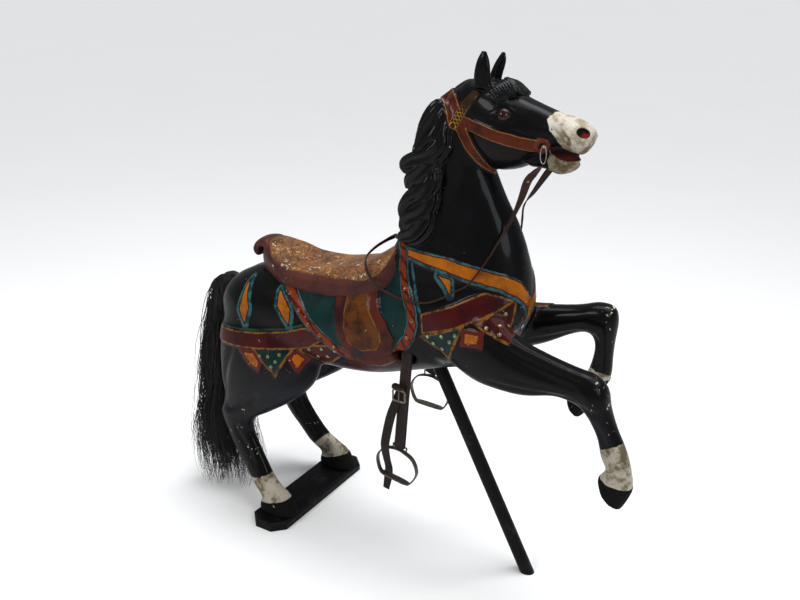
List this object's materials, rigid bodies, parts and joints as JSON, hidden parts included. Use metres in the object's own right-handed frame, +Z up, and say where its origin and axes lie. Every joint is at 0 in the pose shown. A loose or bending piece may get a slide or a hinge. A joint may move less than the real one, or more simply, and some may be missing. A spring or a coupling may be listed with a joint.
{
  "type": "carousel horse",
  "caption": "Carved, painted wooden carousel horse prancing on a foot board and a prop pole, with horsehair tail, leather reins and hanging iron stirrups.",
  "frame": {"origin": "middle of the foot board's underside, on the floor", "axes": "+X the way the horse faces, +Y the horse's left side, +Z up"},
  "size_m": [1.5989, 0.512, 1.546],
  "materials": {
    "painted_wood": "worn glossy black paint over carved wood",
    "board": "dull black paint",
    "pole": "satin black paint",
    "horsehair": "dark horsehair",
    "eye": "polished brown glass",
    "wire": "dull steel wire",
    "rein_leather": "dark red-brown leather, worn",
    "stirrup_iron": "dull brown-grey iron",
    "stirrup_leather": "old dark brown leather"
  },
  "bodies": {
    "root": {"horse": "painted_wood", "foot_board": "board", "prop_pole": "pole", "tail": "horsehair", "eye_right": "eye", "eye_left": "eye", "rein_hook_right": "wire", "rein_hook_left": "wire", "reins": "rein_leather", "stirrup_right": "stirrup_iron", "stirrup_left": "stirrup_iron", "leather_right": "stirrup_leather", "leather_left": "stirrup_leather", "buckle_right": "stirrup_iron", "buckle_left": "stirrup_iron"}
  },
  "joints": []
}
